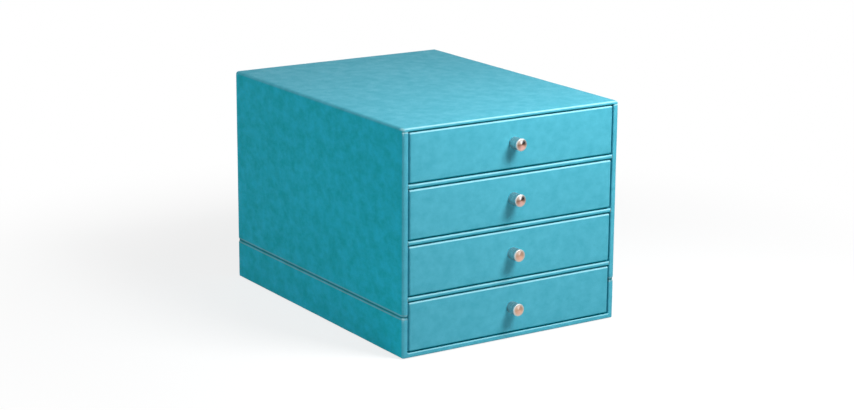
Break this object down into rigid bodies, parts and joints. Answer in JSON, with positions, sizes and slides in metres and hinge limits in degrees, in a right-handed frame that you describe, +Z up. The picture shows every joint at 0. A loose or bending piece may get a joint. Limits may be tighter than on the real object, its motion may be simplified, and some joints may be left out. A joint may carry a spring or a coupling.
{
  "type": "desktop mini drawers",
  "caption": "Desktop drawer unit: a leather-wrapped board case with a seam round its base and stacked, felt-lined sliding trays with turned metal knobs.",
  "frame": {"origin": "on the table, in the middle of the underside of the case", "axes": "+Z up; +Y from the drawer fronts to the back; +X to the right as seen from the front"},
  "size_m": [0.26, 0.355, 0.232],
  "materials": {
    "leather_cloth": "satin faux leather, faint grain, pared edges left bare at the seam",
    "fibreboard": "raw medium density fibreboard",
    "felt": "short grey felt",
    "knob_steel": "turned and brushed, polished end with a sunk disc",
    "zinc_steel": "zinc plated"
  },
  "bodies": {
    "case": {"case_top_board": "fibreboard", "case_bottom_board": "fibreboard", "case_left_board": "fibreboard", "case_right_board": "fibreboard", "case_back_board": "fibreboard", "divider_1": "fibreboard", "divider_1_wrap": "leather_cloth", "divider_2": "fibreboard", "divider_2_wrap": "leather_cloth", "divider_3": "fibreboard", "divider_3_wrap": "leather_cloth", "upper_cover": "leather_cloth", "lower_cover": "leather_cloth", "base_felt": "felt"},
    "drawer_1": {"drawer_1_front_board": "fibreboard", "drawer_1_front_cover": "leather_cloth", "drawer_1_left_side": "fibreboard", "drawer_1_right_side": "fibreboard", "drawer_1_back": "fibreboard", "drawer_1_bottom": "fibreboard", "drawer_1_lining": "felt", "drawer_1_knob": "knob_steel", "drawer_1_knob_screw": "zinc_steel", "drawer_1_washer": "zinc_steel"},
    "drawer_2": {"drawer_2_front_board": "fibreboard", "drawer_2_front_cover": "leather_cloth", "drawer_2_left_side": "fibreboard", "drawer_2_right_side": "fibreboard", "drawer_2_back": "fibreboard", "drawer_2_bottom": "fibreboard", "drawer_2_lining": "felt", "drawer_2_knob": "knob_steel", "drawer_2_knob_screw": "zinc_steel", "drawer_2_washer": "zinc_steel"},
    "drawer_3": {"drawer_3_front_board": "fibreboard", "drawer_3_front_cover": "leather_cloth", "drawer_3_left_side": "fibreboard", "drawer_3_right_side": "fibreboard", "drawer_3_back": "fibreboard", "drawer_3_bottom": "fibreboard", "drawer_3_lining": "felt", "drawer_3_knob": "knob_steel", "drawer_3_knob_screw": "zinc_steel", "drawer_3_washer": "zinc_steel"},
    "drawer_4": {"drawer_4_front_board": "fibreboard", "drawer_4_front_cover": "leather_cloth", "drawer_4_left_side": "fibreboard", "drawer_4_right_side": "fibreboard", "drawer_4_back": "fibreboard", "drawer_4_bottom": "fibreboard", "drawer_4_lining": "felt", "drawer_4_knob": "knob_steel", "drawer_4_knob_screw": "zinc_steel", "drawer_4_washer": "zinc_steel"}
  },
  "joints": [
    {"name": "drawer_1_slide", "type": "slide", "parent": "case", "child": "drawer_1", "axis": [0, -1, 0], "range_m": [0, 0.25]},
    {"name": "drawer_2_slide", "type": "slide", "parent": "case", "child": "drawer_2", "axis": [0, -1, 0], "range_m": [0, 0.25]},
    {"name": "drawer_3_slide", "type": "slide", "parent": "case", "child": "drawer_3", "axis": [0, -1, 0], "range_m": [0, 0.25]},
    {"name": "drawer_4_slide", "type": "slide", "parent": "case", "child": "drawer_4", "axis": [0, -1, 0], "range_m": [0, 0.25]}
  ]
}
